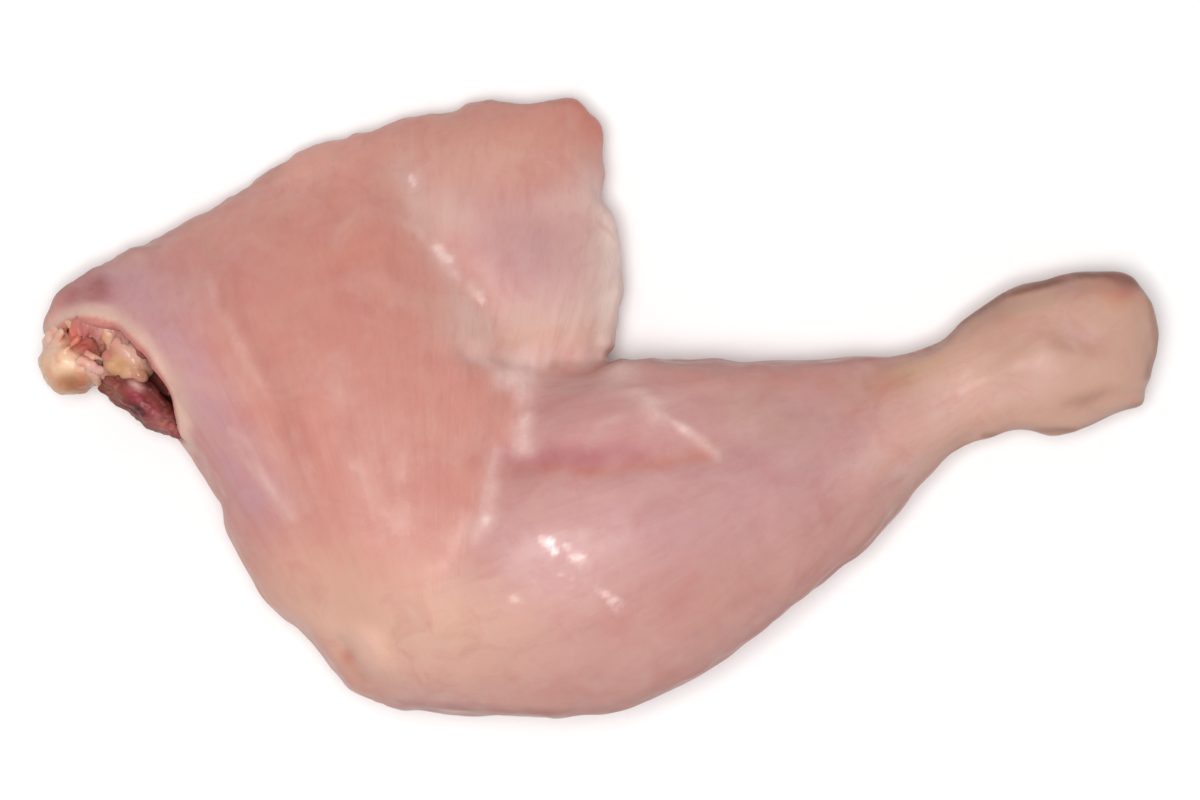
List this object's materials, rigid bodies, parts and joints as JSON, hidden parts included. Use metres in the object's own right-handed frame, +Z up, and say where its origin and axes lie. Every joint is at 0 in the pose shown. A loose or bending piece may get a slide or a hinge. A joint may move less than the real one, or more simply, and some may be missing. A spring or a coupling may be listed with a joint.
{
  "type": "raw skinless chicken leg",
  "caption": "Raw skinless chicken leg, thigh and drumstick in one bent piece, with the open hip cut showing the bone's ball, fat and dark muscle.",
  "frame": {"origin": "centre of the leg's bounding box in plan, on the surface it lies on", "axes": "+Z up from the surface, with the outer side of the leg facing +Z; +X towards the ankle; +Y towards the loose back edge of the thigh"},
  "size_m": [0.1714, 0.0942, 0.0407],
  "materials": {
    "meat": "moist",
    "cartilage": "moist",
    "dark_meat": "moist",
    "fat": "moist"
  },
  "bodies": {
    "root": {"leg_meat": "meat", "femur_head": "cartilage", "deep_muscle": "dark_meat", "hip_fat": "fat"}
  },
  "joints": []
}
